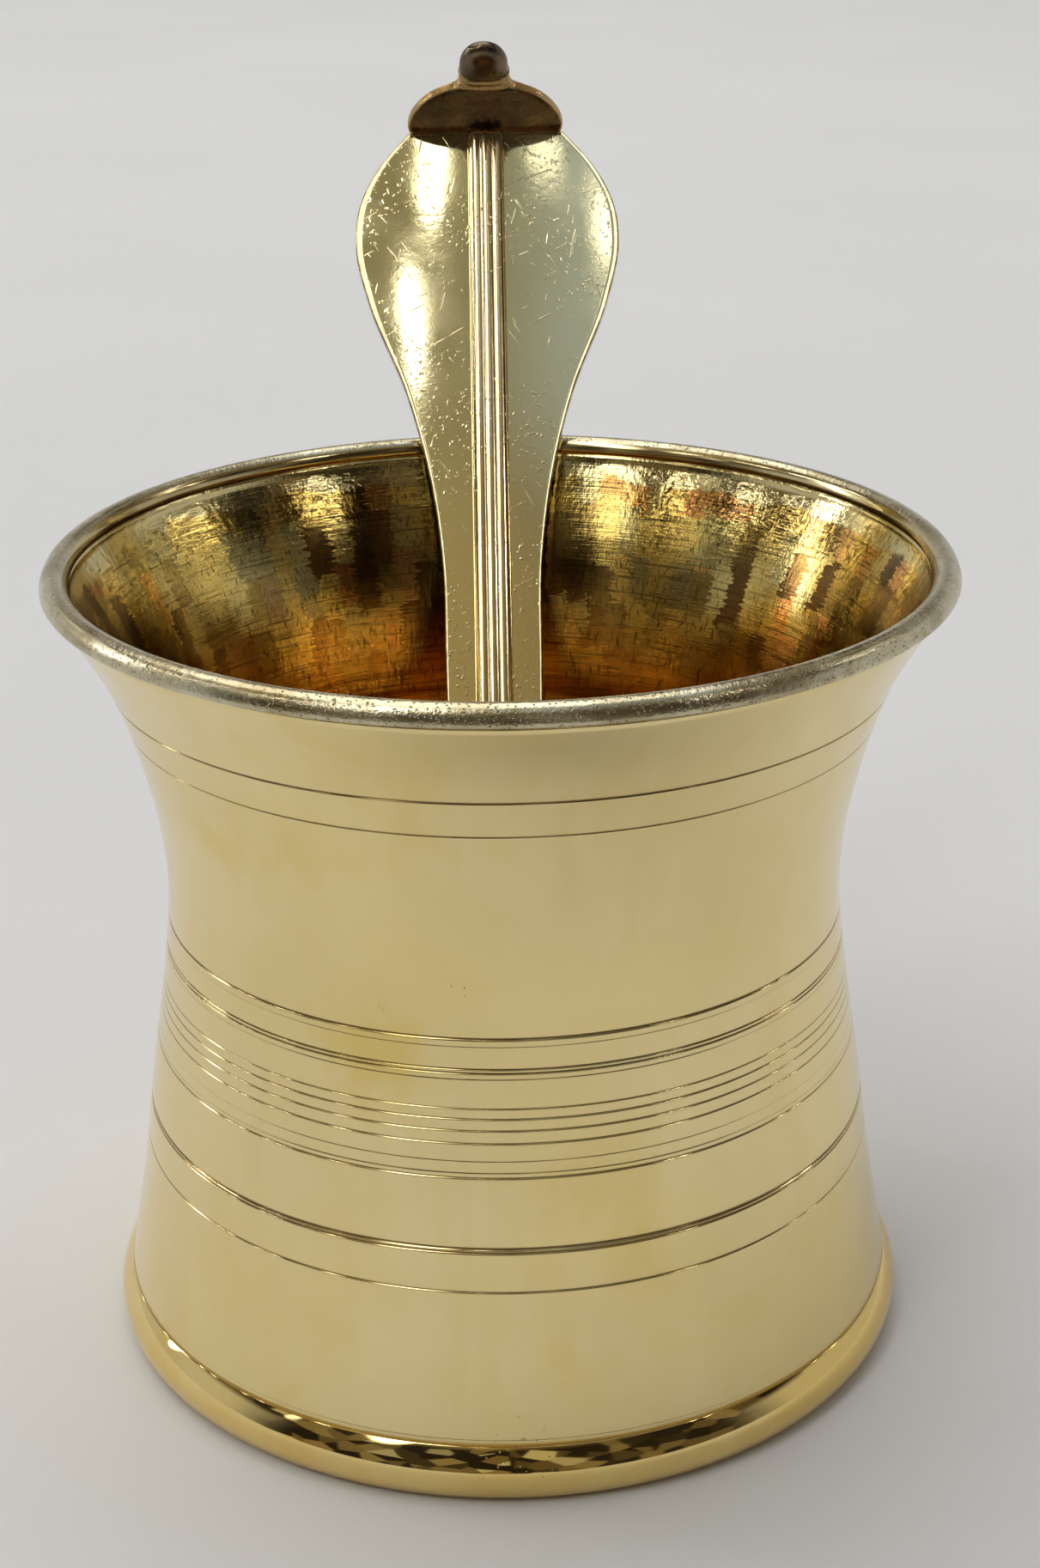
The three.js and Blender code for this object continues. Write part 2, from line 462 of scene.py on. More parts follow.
def pits(s, scale, size, share):
    """Small round pits: 1 in a pit and 0 elsewhere.

    share is the part of the surface that has them.
    """
    spots = s.cells(scale)
    near = s.between(spots.outputs["Distance"], size * 0.5, size, 1.0, 0.0)
    kept = s.between(s.noise(90, detail=2.0), 1 - share - 0.04, 1 - share + 0.04)
    return s.math("MULTIPLY", near, kept)


def turned_brass(name, pale, deep, stain, roughness, line_depth, smudge=FAR_AWAY):
    """Polished turned brass: fine rings, cloudy colour, painted upright streaks of reflection,
    yellow stains and a few dark pits.

    smudge is the middle of one larger stain.
    """
    s = Surface(name)
    clouds = s.noise(45, detail=5.0, roughness=0.6)
    colour = s.mix(s.between(clouds, 0.35, 0.68), pale, deep)
    # Painted reflection: darker upright streaks, as the turned rings smear reflections upward.
    reflection_streaks = s.noise(1.0, detail=3.0, roughness=0.6, at=s.scaled(170, 170, 9))
    colour = s.mix(s.between(reflection_streaks, 0.45, 0.7, 0.0, 0.8), colour, deep)
    stains = s.between(s.noise(34, detail=6.0, roughness=0.6, distortion=0.5), 0.56, 0.76)
    reach = s.add("ShaderNodeVectorMath", {0: s.place, 1: smudge}, operation="DISTANCE")
    wavy = s.math("MULTIPLY", s.noise(260, detail=5.0, roughness=0.65), 0.011)
    spot = s.between(s.math("ADD", reach.outputs["Value"], wavy), 0.006, 0.0125, 0.95, 0.0)
    stains = s.math("MAXIMUM", stains, spot)
    colour = s.mix(s.math("MULTIPLY", stains, 0.6), colour, stain)
    hole = pits(s, 1500, 0.15, 0.3)
    groove = s.mark("groove")
    dark = s.math("MAXIMUM", s.math("MULTIPLY", hole, 0.6), s.math("MULTIPLY", groove, 0.8))
    colour = s.mix(dark, colour, GROOVE_DIRT)
    rough = s.between(s.noise(160, detail=4.0), 0.3, 0.75, roughness * 0.8, roughness * 1.25)
    rough = s.math("ADD", rough, s.math("MULTIPLY", stains, 0.08))
    rings = s.noise(1.0, detail=3.0, roughness=0.7, at=s.scaled(8, 8, 2600))
    bands = s.noise(1.0, detail=2.0, at=s.scaled(2, 2, 300))
    strokes = s.noise(1.0, detail=2.0, at=s.scaled(260, 260, 12))
    normal = s.relief(rings, line_depth)
    normal = s.relief(bands, line_depth * 8, normal)
    normal = s.relief(strokes, line_depth * 6, normal)
    normal = s.relief(s.math("MULTIPLY", hole, -1.0), 3e-5, normal)
    return s.finish(colour, rough, normal)


def tarnish_and_reflection_blocks(s, height):
    """The inside's colour: upright blocks with torn edges, laid out round the wall, partly tarnish
    and partly painted reflection.
    """
    where = s.parts(s.place)
    around = s.math("ARCTAN2", where["X"], where["Y"])
    unrolled = s.add("ShaderNodeCombineXYZ")
    s.set(unrolled.inputs["X"], s.math("MULTIPLY", around, BLOCKS_AROUND))
    s.set(unrolled.inputs["Y"], s.math("MULTIPLY", height, BLOCKS_UP))
    fine_inputs = {"Vector": s.scaled(90, 90, 3600), "Scale": 1.0, "Detail": 3.0}
    fine = s.add("ShaderNodeTexNoise", fine_inputs).outputs["Color"]
    ragged = s.add("ShaderNodeVectorMath", operation="MULTIPLY_ADD")
    s.set(ragged.inputs[0], fine)
    s.set(ragged.inputs[1], (1.2, 0.3, 0.0))
    s.set(ragged.inputs[2], unrolled.outputs["Vector"])
    at = ragged.outputs["Vector"]
    blocks = s.cells(1.0, at=at, randomness=0.45, distance="CHEBYCHEV").outputs["Color"]
    block = s.add("ShaderNodeSeparateColor", {"Color": blocks}).outputs
    areas = s.noise(1.0, detail=2.0, at=s.scaled(90, 90, 50))
    tone = s.math("ADD", s.math("MULTIPLY", block["Red"], 0.4), areas)
    # Dark and gold blocks: partly real tarnish, partly painted reflection of the room.
    colour = s.mix(s.between(tone, 0.53, 0.93), TARNISH_AND_DARK_REFLECTION, GOLD)
    colour = s.mix(s.math("MULTIPLY", s.between(block["Green"], 0.5, 0.8), 0.6), colour, OLIVE)
    return s.mix(s.math("MULTIPLY", s.between(block["Blue"], 0.8, 0.95), 0.7), colour, RED_BRASS)


def inside_colour(s, height):
    """The blocks, with a painted orange reflection and bands low down, crossed by dark tool lines
    and painted upright streaks of reflection, and pale at the mouth.
    """
    colour = tarnish_and_reflection_blocks(s, height)
    # Painted reflection: the inside is more orange low down, where it reflects itself.
    colour = s.mix(s.between(height, *INSIDE_ORANGE_REFLECTION, 0.8, 0.0), colour, ORANGE_REFLECTION)
    bands = s.noise(1.0, detail=2.0, at=s.scaled(25, 25, 800))
    banded = s.mix(s.between(bands, 0.46, 0.56), BAND_DARK, BAND_BRIGHT)
    colour = s.mix(s.between(height, *INSIDE_BANDED, 0.7, 0.0), colour, banded)
    lines = s.noise(1.0, detail=3.0, roughness=0.7, at=s.scaled(150, 150, 5200))
    upright = s.noise(1.0, detail=2.0, roughness=0.6, at=s.scaled(3000, 3000, 140))
    # The level dark lines are tool marks with tarnish; the upright ones are painted streaks of
    # reflection.
    hatch = s.math("MAXIMUM", s.between(lines, 0.5, 0.7), s.between(upright, 0.52, 0.72))
    colour = s.mix(s.math("MULTIPLY", hatch, 0.7), colour, TARNISH_AND_REFLECTION_LINES)
    torn = s.noise(1.0, detail=5.0, roughness=0.7, at=s.scaled(160, 160, 260))
    edge = s.math("ADD", height, s.math("MULTIPLY", torn, 0.004))
    return s.mix(s.between(edge, *MOUTH_EDGE), colour, MOUTH_PALE)


def inside_relief(s, height):
    """Rings from the tool crossed by strokes, over wide waves, with dimples near the mouth."""
    rings = s.noise(1.0, detail=4.0, roughness=0.75, at=s.scaled(60, 60, 3600))
    strokes = s.noise(1.0, detail=3.0, roughness=0.6, at=s.scaled(2400, 2400, 110))
    wide = s.noise(1.0, detail=2.0, at=s.scaled(190, 190, 420))
    dimples = s.math("MULTIPLY", s.noise(900, detail=2.0), s.between(height, *MOUTH_DIMPLED))
    normal = s.relief(rings, 2.0e-5)
    normal = s.relief(strokes, 1.8e-5, normal)
    normal = s.relief(wide, 4e-5, normal)
    return s.relief(dimples, 4e-5, normal)


def brushed_brass(name, roughness):
    """The cup's inside: brushed and tarnished, and glossier near the mouth."""
    s = Surface(name)
    height = s.parts(s.place)["Z"]
    patches = s.noise(70, detail=5.0, roughness=0.6)
    rough = s.between(patches, 0.3, 0.7, roughness * 0.7, roughness * 1.4)
    rough = s.math("MULTIPLY", rough, s.between(height, *MOUTH_GLOSSY, 1.0, 0.35))
    return s.finish(inside_colour(s, height), rough, inside_relief(s, height))


def satin_brass(name, pale, deep, roughness):
    """Worn satin brass: greyish, finely pitted, with brighter rubbed patches."""
    s = Surface(name)
    clouds = s.noise(160, detail=6.0, roughness=0.7)
    colour = s.mix(s.between(clouds, 0.35, 0.65), pale, deep)
    hole = pits(s, 2600, 0.3, 0.6)
    colour = s.mix(s.math("MULTIPLY", hole, 0.7), colour, PIT_DIRT)
    rough = s.between(s.noise(300, detail=5.0), 0.3, 0.7, roughness * 0.8, roughness * 1.3)
    grain = s.noise(2400, detail=3.0, roughness=0.6)
    normal = s.relief(grain, 4e-5)
    normal = s.relief(s.math("MULTIPLY", hole, -1.0), 3e-5, normal)
    return s.finish(colour, rough, normal)


# Turns in radians that lay scratches on the leaning blade, each at its own angle across it.
BLADE_LEAN = -0.96
SCRATCH_ANGLES = (0.2, -0.6, 1.1, 2.6)
SCRATCH_TURNS = tuple((BLADE_LEAN, 0, angle) for angle in SCRATCH_ANGLES)


def cast_brass(name, pale, deep, roughness, dent):
    """Cast and polished brass with small dents, specks and fine scratches."""
    s = Surface(name)
    clouds = s.noise(60, detail=6.0, roughness=0.6)
    colour = s.mix(s.between(clouds, 0.3, 0.7), pale, deep)
    handled = s.between(s.parts(s.place)["Z"], *BLADE_SCRATCHED, 0.25, 1.0)
    scratch = s.math("MULTIPLY", scratches(s, SCRATCH_TURNS), handled)
    colour = s.mix(s.math("MULTIPLY", scratch, 0.35), colour, SCRATCH)
    edge_patches = s.between(s.noise(700, detail=3.0), 0.3, 0.7, 0.45, 0.95)
    # The blade's edge is painted darker, more in some patches than in others.
    colour = s.mix(s.math("MULTIPLY", s.mark("edge"), edge_patches), colour, EDGE_DARKENING)
    worn = s.between(s.noise(110, detail=4.0), 0.4, 0.7)
    rough = s.between(s.noise(150, detail=5.0), 0.3, 0.7, roughness * 0.7, roughness * 1.4)
    rough = s.math("ADD", rough, s.math("MULTIPLY", scratch, 0.35))
    specks = s.math("MULTIPLY", s.between(s.noise(2000, detail=1.0), 0.62, 0.72), worn)
    normal = s.relief(s.noise(240, detail=2.0), dent)
    normal = s.relief(specks, 1.5e-5, normal)
    normal = s.relief(s.noise(1500, detail=3.0, roughness=0.6), 2.5e-6, normal)
    normal = s.relief(scratch, 1.5e-5, normal)
    return s.finish(colour, rough, normal)


def head_brass(name, bright, dark, roughness):
    """Brass with painted shade: dark with patina blotches, as if in shadow, and its own brighter
    colour where its mark lifts the shade.
    """
    s = Surface(name)
    patchy = s.noise(420, detail=5.0, roughness=0.65)
    unshaded = s.math("ADD", s.mark("unshaded"), s.between(patchy, 0.2, 0.8, -0.25, 0.25))
    amount = s.between(unshaded, 0.15, 1.0)
    deep = s.mix(s.between(s.noise(300, detail=4.0), 0.35, 0.7), dark, HEAD_PATINA)
    colour = s.mix(amount, deep, bright)
    rough = s.between(patchy, 0.3, 0.7, roughness * 0.7, roughness * 1.5)
    grain = s.noise(1500, detail=4.0, roughness=0.6)
    normal = s.relief(grain, 2.5e-5)
    normal = s.relief(s.noise(420, detail=2.0), 6e-5, normal)
    return s.finish(colour, rough, normal)


WALL_BRASS = turned_brass(
    "wall_brass",
    rgb(0.86, 0.71, 0.37),
    rgb(0.82, 0.66, 0.31),
    rgb(0.76, 0.55, 0.12),
    0.13,
    1.2e-6,
    smudge=(-0.0108, -0.0293, 0.0392),
)
LIP_BRASS = turned_brass(
    "lip_brass", rgb(0.62, 0.52, 0.29), rgb(0.46, 0.36, 0.18), rgb(0.34, 0.22, 0.09), 0.16, 2.5e-6
)
INSIDE_BRASS = brushed_brass("inside_brass", 0.15)
BASE_BRASS = turned_brass(
    "base_brass", rgb(0.62, 0.45, 0.20), rgb(0.50, 0.34, 0.14), rgb(0.30, 0.18, 0.07), 0.3, 6e-6
)
RIM_BRASS = satin_brass("rim_brass", rgb(0.64, 0.58, 0.41), rgb(0.44, 0.37, 0.22), 0.22)
FOOT_BRASS = turned_brass(
    "foot_brass", rgb(0.85, 0.66, 0.28), rgb(0.80, 0.58, 0.20), rgb(0.70, 0.46, 0.13), 0.05, 6e-7
)
BLADE_BRASS = cast_brass("blade_brass", rgb(0.84, 0.74, 0.45), rgb(0.79, 0.68, 0.38), 0.07, 4e-6)
RIB_BRASS = cast_brass("rib_brass", rgb(0.84, 0.71, 0.43), rgb(0.76, 0.60, 0.32), 0.12, 4e-6)
BOWL_BRASS = cast_brass("bowl_brass", rgb(0.80, 0.68, 0.38), rgb(0.68, 0.54, 0.26), 0.2, 1e-5)
# The head's second colour is painted shade, for its underside and the snout.
HEAD_BRASS = head_brass("head_brass", rgb(0.50, 0.33, 0.13), rgb(0.11, 0.085, 0.06), 0.27)

# ------------------------------------------------------------------------- cup

wall_radius = smooth_through(WALL_OUTLINE)


def groove_cut(z):
    """How deep the grooves cut into the wall at height z."""
    return sum(depth * np.exp(-(((z - at) / (0.6 * half)) ** 2)) for at, depth, half in GROOVES)


def wall_heights():
    """Heights of the outside's rings, close together in the grooves."""
    heights = set(np.linspace(FOOT_TOP, WALL_TOP, 90).round(3))
    for at, _, half in GROOVES:
        heights |= set((at + half * np.linspace(-1.6, 1.6, 9)).round(3))
    return np.array(sorted(z for z in heights if FOOT_TOP <= z <= WALL_TOP))


def paint(piece, name, value):
    """Stores value, one number for each point, as a mark that a material reads."""
    marks = piece.data.attributes.new(name, "FLOAT", "POINT")
    marks.data.foreach_set("value", [float(v) for v in value])


def tilted(points):
    """The mouth's slight tilt: points near the rim are raised behind and lowered in front."""
    points = np.array(points, float)
    near = np.clip((points[:, 2] - TILT_START) / TILT_FADE, 0, 1) ** 2
    points[:, 2] += RIM_TILT * near * points[:, 1] / RIM_CENTRE_R
    return points


def cup_wall():
    """The wall, with its grooves outside and its tool marks inside."""
    outer_z = wall_heights()
    outside = list(zip(wall_radius(outer_z) - groove_cut(outer_z), outer_z))
    inner_z = np.linspace(MOUTH_Z, FOOT_TOP, INSIDE_RINGS)
    tool_marks = wander(np.linspace(0, 1, INSIDE_RINGS), 3, 0.03, 30)
    inside = list(zip(wall_radius(inner_z) - WALL + tool_marks, inner_z))
    points, faces = turned(outside + inside)
    kinds = [0] * len(outside) + [1] * len(inside)
    choice = np.repeat(kinds[: len(faces) // SIDES], SIDES)
    materials = [WALL_BRASS, INSIDE_BRASS]
    points = tilted(points)
    piece = add_piece(
        "wall", points, faces, "cup_wall", "cup", materials, choice=choice
    )
    dark = np.clip(groove_cut(outer_z) / 0.08, 0, 1)
    dark = np.concatenate([dark, np.zeros(len(inside))])
    paint(piece, "groove", np.repeat(dark, SIDES))


def rim_bead():
    """The roll along the rim, and the lip that joins it to the inside."""
    roll = []
    r, z = RIM_RADIUS - ROLL_ARCS[0][0], ROLL_BOTTOM + ROLL_ARCS[0][0]
    for radius, start, end in ROLL_ARCS:
        if roll:
            turn = math.radians(start)
            r, z = roll[-1][0] - radius * math.cos(turn), roll[-1][1] - radius * math.sin(turn)
        roll += ellipse(r, z, radius, radius, start, end, 16)[1 if roll else 0 :]
    section = roll + list(LIP) + list(LIP_FOOT)
    points, faces = turned(section)
    kinds = [0] * len(roll) + [1] * (len(LIP) + len(LIP_FOOT))
    choice = np.repeat(kinds, SIDES)
    materials = [RIM_BRASS, LIP_BRASS]
    points = tilted(points)
    add_piece("rim", points, faces, "rim_bead", "cup", materials, choice=choice)


def foot_bead():
    """A foot that rises from a rounded tread to a slope, and meets the wall in a crease."""
    tread = ellipse(FOOT_RADIUS - FOOT_BULGE, FOOT_CREST, FOOT_BULGE, FOOT_CREST, -90, 0, 24)
    brow_r = FOOT_RADIUS - FOOT_BROW
    brow = ellipse(brow_r, FOOT_CREST, FOOT_BROW, FOOT_BROW, 0, BROW_TURN, 6)[1:]
    r, z = brow[-1]
    slope_r = r - FOOT_SLOPE * math.cos(math.radians(BROW_TURN))
    slope_z = z - FOOT_SLOPE * math.sin(math.radians(BROW_TURN))
    slope = ellipse(slope_r, slope_z, FOOT_SLOPE, FOOT_SLOPE, BROW_TURN, SLOPE_TURN, 16)[1:]
    r, z = slope[-1]
    top = [(r - 0.12, z - 0.1), (34.5, FOOT_TOP - 0.1)]
    inside = [(FOOT_INNER_R, FOOT_TOP - 1.2), (FOOT_INNER_R, 0.25), (FOOT_INNER_R + 0.25, 0)]
    points, faces = turned(tread + brow + slope + top + inside)
    add_piece("foot", points, faces, "foot_bead", "cup", [FOOT_BRASS])


def base_plate():
    """The floor, with rings from the lathe on both faces and a small centre dimple."""
    reach = np.linspace(0, FOOT_INNER_R, 70)
    rings = 0.03 * np.abs(np.sin(reach * 1.9)) + 0.012 * np.abs(np.sin(reach * 5.3))
    dimple = 0.35 * np.exp(-((reach / 0.9) ** 2))
    under = list(zip(reach, rings + dimple))
    over = list(zip(reach, BASE_THICKNESS - rings - dimple))[::-1]
    points, faces = turned(under + over)
    add_piece("base", points, faces, "base_plate", "cup", [BASE_BRASS])


cup_wall()
rim_bead()
foot_bead()
base_plate()

# ----------------------------------------------------------------------- spoon

blade_half = smooth_through(BLADE_OUTLINE)


def blade_bend(x, y):
    """How far the blade's front lies in front of flat: the hood's sides bend back."""
    half = blade_half(y)
    spread = np.clip((half - STEM_HALF) / (HOOD_HALF - STEM_HALF), 0, 1)
    return -HOOD_CURVE * spread * (x / half) ** 2


def blade_section(y, across=48, edge=6):
    """One ring round the blade at height y, front face first, with lightly rounded edges."""
    half, thick = blade_half(y), BLADE
    flat = np.linspace(-(half - EDGE_ROUND), half - EDGE_ROUND, across)
    ring = [(x, 0.0) for x in flat]
    for side, low in ((1, False), (1, True), (-1, True), (-1, False)):
        turns = np.radians(np.linspace(90, 0, edge))
        if low == (side == 1):
            turns = turns[::-1]
        for a in turns:
            x = side * (half - EDGE_ROUND + EDGE_ROUND * math.cos(a))
            z = EDGE_ROUND * (math.sin(a) - 1)
            ring.append((x, -thick - z if low else z))
        if side == 1 and low:
            ring += [(x, -thick) for x in flat[::-1]]
    return [(x, y, z + float(blade_bend(x, y))) for x, z in ring]


def spoon_blade():
    """The blade, with more rings in the hood than in the stem. Its edge is marked to be painted
    darker.
    """
    rows = np.concatenate([np.linspace(BLADE_END, -10, 40), np.linspace(-9, BLADE_TOP, 90)])
    points, faces = loft([blade_section(y) for y in rows])
    materials = [BLADE_BRASS]
    piece = add_piece(
        "hood_blade", points, faces, "spoon_blade", "spoon", materials, SPOON_PLACE
    )
    local = np.array(points)
    inset = blade_half(local[:, 1]) - np.abs(local[:, 0])
    paint(piece, "edge", np.clip(1.7 - inset / EDGE_ROUND, 0, 1))


def rib_section(y, along):
    """The rib's ring at height y: steep sides and three rounded ridges side by side."""
    x = np.linspace(1, -1, 73) * RIB_WIDTH / 2
    nearest = np.min([np.abs(x - at) for at in RIDGE_X], axis=0)
    ridges = RIDGE_RISE * (1 - np.clip(nearest / RIDGE_HALF, 0, 1) ** 2)
    crown = RIB_HEIGHT - 0.11 * x**2 + ridges
    flank = 1 - np.clip((np.abs(x) - RIB_CROWN) / (RIB_WIDTH / 2 - RIB_CROWN), 0, 1) ** 3
    z = crown * flank + wander(along, 5, 0.015, 9)
    ring = [(RIB_WIDTH / 2, -0.3)] + list(zip(x, z)) + [(-RIB_WIDTH / 2, -0.3)]
    lift = float(blade_bend(0.0, y))
    return [(px, y, pz + lift) for px, pz in ring]


def spoon_rib():
    rows = np.linspace(RIB_END, RIB_TOP, 130)
    length = RIB_TOP - RIB_END
    points, faces = loft([rib_section(y, (y - RIB_END) / length)[::-1] for y in rows])
    materials = [RIB_BRASS]
    add_piece(
        "hood_rib", points, faces, "spoon_rib", "spoon", materials, SPOON_PLACE
    )


def oval_ring(y, half, low, high, around=48, square=0.55):
    """A ring at distance y: half wide, from low to high, between an oval and a rounded box."""
    angles = np.linspace(0, 2 * math.pi, around, endpoint=False)
    c, s = np.cos(angles), np.sin(angles)
    x = half * np.sign(c) * np.abs(c) ** square
    z = (low + high) / 2 + (high - low) / 2 * np.sign(s) * np.abs(s) ** square
    return list(zip(x, np.full(around, y), z))


def spoon_head():
    """The head's plate and the ringed neck in front of it. Its underside is +Z here."""
    half_at = smooth_through(HEAD_OUTLINE)
    start, end = HEAD_OUTLINE[0][0], HEAD_OUTLINE[-1][0]
    plate_rows = np.linspace(start, NECK_START, 40)
    rows = np.concatenate([plate_rows, np.linspace(NECK_START + 0.1, end, 34)])
    sections = []
    for y in rows:
        neck = float(np.clip((y - NECK_START) / 1.2, 0, 1)) ** 2
        turn = (y - NECK_RINGS_START) * 2 * math.pi / NECK_RING_WIDTH
        ridge = NECK_RING_DEPTH * math.sin(turn) if y > NECK_RINGS_START else 0.0
        fillet = 0.15 * max(0.0, 1 - max(y, 0.0) / 0.9) ** 2
        low = -HEAD_THICKNESS - 0.45 * neck - 0.4 * ridge
        high = fillet + 0.75 * neck + ridge
        half = float(half_at(y)) + 0.5 * ridge
        sections.append(oval_ring(y, half, low, high, 96, 0.3 + 0.4 * neck))
    points, faces = loft(sections)
    piece = add_piece(
        "head_plate", points, faces, "spoon_head", "spoon", [HEAD_BRASS], HEAD_PLACE
    )
    # Painted light and shade: the top face, the edges and the neck keep the brighter colour, and
    # the rest of the head is painted dark as if in shadow.
    local = np.array(points)
    edge = np.clip((np.abs(local[:, 0]) / half_at(local[:, 1]) - 0.94) * 22, 0, 1)
    neck = np.clip((local[:, 1] - 6.3) * 1.5, 0, 1)
    top = np.clip(-local[:, 2] / HEAD_THICKNESS - 0.2, 0, 1)
    paint(piece, "unshaded", np.maximum(np.maximum(edge * 0.9, neck * 0.72), top * 0.75))


def spoon_snout():
    """A blunt snout that narrows to a round end."""
    length = SNOUT_END - SNOUT_START
    centre = -HEAD_THICKNESS / 2 + 0.1
    sections = []
    for t in np.sin(np.linspace(0, math.pi / 2, 26)):
        y = SNOUT_START + length * t
        size = max(0.02, (1 - t**2.6) ** 0.5) * (1 + 0.02 * math.sin(t * 3))
        half_thick = SNOUT_THICKNESS / 2 * size
        ring = oval_ring(y, SNOUT_HALF * size, centre - half_thick, centre + half_thick, 48, 0.9)
        sections.append(ring)
    points, faces = loft(sections)
    piece = add_piece(
        "head_snout", points, faces, "spoon_snout", "spoon", [HEAD_BRASS], HEAD_PLACE
    )
    # The whole snout is painted dark, as painted shade.
    paint(piece, "unshaded", np.zeros(len(points)))


def spoon_bowl():
    """An oval bowl with a rounded lip, and a slightly thicker bottom."""
    middle = BOWL_HALF_LENGTH - BOWL_WALL / 2
    outside = ellipse(0, 0, BOWL_HALF_LENGTH, BOWL_DEPTH, -90, 0, 30)[1:]
    lip = ellipse(middle, 0, BOWL_WALL / 2, BOWL_WALL / 2, 0, 180, 8)[1:-1]
    inside = ellipse(0, 0, BOWL_HALF_LENGTH - BOWL_WALL, BOWL_DEPTH - BOWL_WALL, 0, -90, 30)[:-1]
    outline = [(0, -BOWL_DEPTH)] + outside + lip + inside + [(0, -(BOWL_DEPTH - BOWL_WALL))]
    points, faces = turned(outline, 120)
    squeeze = BOWL_HALF_WIDTH / BOWL_HALF_LENGTH
    points = [(x * squeeze, y, z) for x, y, z in points]
    place = SPOON_PLACE @ Matrix.Translation((0, BOWL_CENTRE_Y, 0))
    add_piece("bowl", points, faces, "spoon_bowl", "spoon", [BOWL_BRASS], place)


spoon_blade()
spoon_rib()
spoon_head()
spoon_snout()
spoon_bowl()

# ----------------------------------------------------------------------- stage

# From here on lengths are in metres.

FLOOR_HALF = 9.0
CUP_MIDDLE = (0, 0, 0.06)
CEILING_SPOT = (-0.4, 0.85, 2.4)
CEILING_SIZE = 2.4
CEILING_POWER = 34.0


def floor():
    """A plain pale floor, with a very fine weave."""
    mesh = bpy.data.meshes.new("floor")
    corners = [(-1, -1), (1, -1), (1, 1), (-1, 1)]
    mesh.from_pydata([(x * FLOOR_HALF, y * FLOOR_HALF, 0) for x, y in corners], [], [(0, 1, 2, 3)])
    s = Surface("floor_cloth")
    s.shader.inputs["Metallic"].default_value = 0.0
    soft = s.noise(6, detail=3.0)
    colour = s.mix(s.between(soft, 0.3, 0.7), rgb(0.72, 0.72, 0.75), rgb(0.74, 0.74, 0.77))
    weave = s.noise(1400, detail=2.0)
    mesh.materials.append(s.finish(colour, 0.9, s.relief(weave, 4e-5)))
    ground = bpy.data.objects.new("floor", mesh)
    bpy.context.collection.objects.link(ground)


def ceiling_light():
    """A large soft light over and behind the cup, aimed at it."""
    data = bpy.data.lights.new("ceiling", "AREA")
    data.energy = CEILING_POWER
    data.size = CEILING_SIZE
    light = bpy.data.objects.new("ceiling", data)
    light.location = CEILING_SPOT
    aim = Vector(CUP_MIDDLE) - Vector(CEILING_SPOT)
    light.rotation_euler = aim.to_track_quat("-Z", "Y").to_euler()
    bpy.context.collection.objects.link(light)


def heading(azimuth, elevation):
    """The way out of the cup at an azimuth from -Y towards +X and an elevation, in degrees."""
    a, e = math.radians(azimuth), math.radians(elevation)
    return Vector((math.sin(a) * math.cos(e), -math.cos(a) * math.cos(e), math.sin(e)))


def towards(s, way):
    """How much of the direction being looked up lies along way."""
    made = s.add("ShaderNodeVectorMath", operation="DOT_PRODUCT")
    s.set(made.inputs[0], s.place)
    s.set(made.inputs[1], way)
    return made.outputs["Value"]


def lamp(s, light, azimuth, elevation, wide, tall, brightness, soft=0.35):
    """Adds an oval lamp to light: wide by tall degrees, seen towards a heading."""
    sideways = towards(s, heading(azimuth + 90, 0))
    sideways = s.math("DIVIDE", sideways, math.sin(math.radians(wide / 2)))
    upward = towards(s, heading(azimuth, elevation + 90))
    upward = s.math("DIVIDE", upward, math.sin(math.radians(tall / 2)))
    square = s.math("ADD", s.math("POWER", sideways, 2.0), s.math("POWER", upward, 2.0))
    inside = s.between(square, 1 - soft, 1 + soft, 1.0, 0.0)
    ahead = s.math("GREATER_THAN", towards(s, heading(azimuth, elevation)), 0.0)
    amount = s.math("MULTIPLY", inside, ahead)
    return s.mix(amount, light, rgb(brightness, brightness, brightness * 0.97))


# The larger lamps in the room: azimuth, elevation, width and height in degrees, brightness.
LAMPS = (
    (-11.2, 61.7, 2.6, 2.6, 6.0),
    (-13.9, 57.8, 2.2, 2.0, 6.0),
    (10.3, 62.3, 3.2, 1.1, 3.0),
    (19.5, 59.7, 1.7, 2.0, 5.0),
    (-38.0, 54.0, 13.0, 38.0, 4.5),
    (-108.0, 18.0, 4.5, 18.0, 12.0),
    (-66.0, 31.0, 3.0, 9.0, 2.0),
    (118.0, 36.0, 4.0, 7.0, 5.0),
)
# Small bright lamps, which glint in the cup's mouth: azimuth and elevation in degrees.
SMALL_LAMPS = (
    (-59.0, 40.0),
    (-63.0, 42.0),
    (-82.0, 37.0),
    (-87.0, 35.0),
    (-99.0, 32.0),
    (-104.0, 31.0),
    (-113.0, 29.0),
    (-121.0, 27.0),
    (-136.0, 24.0),
    (59.0, 41.0),
    (64.0, 40.0),
    (103.0, 31.0),
    (111.0, 29.0),
)
SMALL_LAMP_SIZE = 2.2
SMALL_LAMP_BRIGHTNESS = 26.0

THING_DARK = rgb(0.02, 0.016, 0.012)
THING_DIM = rgb(0.25, 0.20, 0.12)
THING_PALE = rgb(0.5, 0.48, 0.4)
CLOTH = rgb(0.55, 0.55, 0.54)
CEILING_LEFT_LOW = rgb(0.39, 0.32, 0.18)
CEILING_RIGHT_LOW = rgb(0.22, 0.17, 0.10)
CEILING_LEFT_HIGH = rgb(0.27, 0.26, 0.18)
CEILING_RIGHT_HIGH = rgb(0.37, 0.44, 0.50)
BACKDROP = rgb(0.62, 0.62, 0.62)


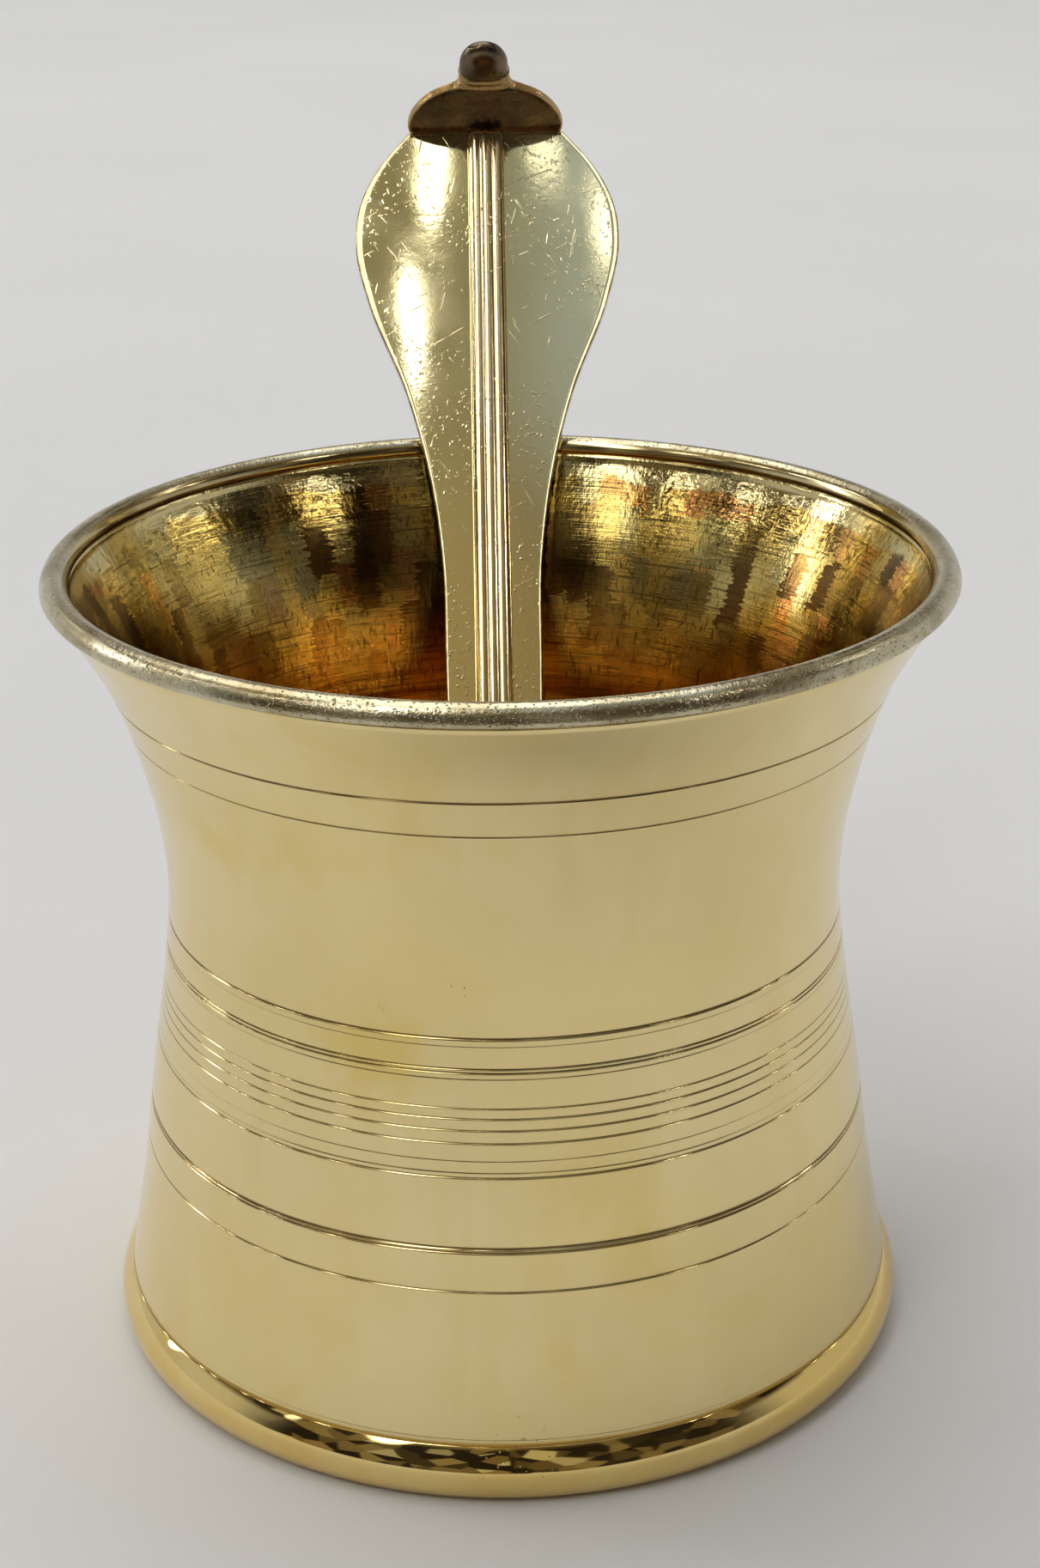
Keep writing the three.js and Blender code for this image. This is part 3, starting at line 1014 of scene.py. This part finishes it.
def room_things(s, split):
    """A patchwork of dark and dim things all round, and a few paler ones."""
    grid = s.add("ShaderNodeCombineXYZ")
    s.set(grid.inputs["X"], s.math("MULTIPLY", s.math("ARCTAN2", split["X"], split["Y"]), 8.2))
    s.set(grid.inputs["Y"], s.math("MULTIPLY", split["Z"], 5.0))
    things = s.cells(1.0, at=grid.outputs["Vector"], randomness=0.75).outputs["Color"]
    thing = s.add("ShaderNodeSeparateColor", {"Color": things}).outputs
    room = s.mix(s.between(thing["Red"], 0.35, 1.0), THING_DARK, THING_DIM)
    return s.mix(s.between(thing["Green"], 0.86, 0.92), room, THING_PALE)


def room_light(s):
    """The patchwork, pale cloth behind the cup, a soft ceiling and the lamps."""
    split = s.parts(s.place)
    low = s.between(split["Z"], 0.3, 0.45, 1.0, 0.0)
    behind = s.math("MULTIPLY", s.between(split["Y"], -0.5, -0.1), low)
    level = s.mix(behind, room_things(s, split), CLOTH)
    warm = s.mix(s.between(split["X"], -0.05, 0.06), CEILING_LEFT_LOW, CEILING_RIGHT_LOW)
    cool = s.mix(s.between(split["X"], -0.05, 0.15), CEILING_LEFT_HIGH, CEILING_RIGHT_HIGH)
    ceiling = s.mix(s.between(split["Z"], 0.79, 0.85), warm, cool)
    light = s.mix(s.between(split["Z"], 0.62, 0.76), level, ceiling)
    for row in LAMPS:
        light = lamp(s, light, *row)
    for azimuth, elevation in SMALL_LAMPS:
        size, brightness = SMALL_LAMP_SIZE, SMALL_LAMP_BRIGHTNESS
        light = lamp(s, light, azimuth, elevation, size, size, brightness)
    return light


def world():
    """The room, which lights the cup and shows in it. The camera sees a plain pale backdrop."""
    made = bpy.data.worlds.new("studio")
    bpy.context.scene.world = made
    made.use_nodes = True
    nodes, links = made.node_tree.nodes, made.node_tree.links
    s = Nodes(made.node_tree, "Generated")
    lighting = nodes["Background"]
    s.set(lighting.inputs["Color"], room_light(s))
    seen = s.add("ShaderNodeBackground", {"Color": BACKDROP})
    path = s.add("ShaderNodeLightPath")
    choose = s.add("ShaderNodeMixShader", {"Fac": path.outputs["Is Camera Ray"]})
    links.new(lighting.outputs["Background"], choose.inputs[1])
    links.new(seen.outputs["Background"], choose.inputs[2])
    links.new(choose.outputs["Shader"], nodes["World Output"].inputs["Surface"])


CAMERA_SPOT = (0.00118, -0.22249, 0.13863)
CAMERA_PITCH = math.radians(21.436)  # down from level
CAMERA_YAW = math.radians(-0.091)
CAMERA_ROLL = math.radians(-0.521)
CAMERA_LENS = 60.53  # millimetres on a sensor 36 mm along its long side


def camera():
    data = bpy.data.cameras.new("camera")
    data.lens = CAMERA_LENS
    data.sensor_width = 36
    data.clip_start = 0.01
    made = bpy.data.objects.new("camera", data)
    bpy.context.collection.objects.link(made)
    turn = (
        Matrix.Rotation(CAMERA_YAW, 4, "Z")
        @ Matrix.Rotation(math.pi / 2 - CAMERA_PITCH, 4, "X")
        @ Matrix.Rotation(CAMERA_ROLL, 4, "Z")
    )
    made.matrix_world = Matrix.Translation(CAMERA_SPOT) @ turn
    bpy.context.scene.camera = made


floor()
ceiling_light()
world()
camera()
bpy.context.scene.view_settings.view_transform = "Standard"
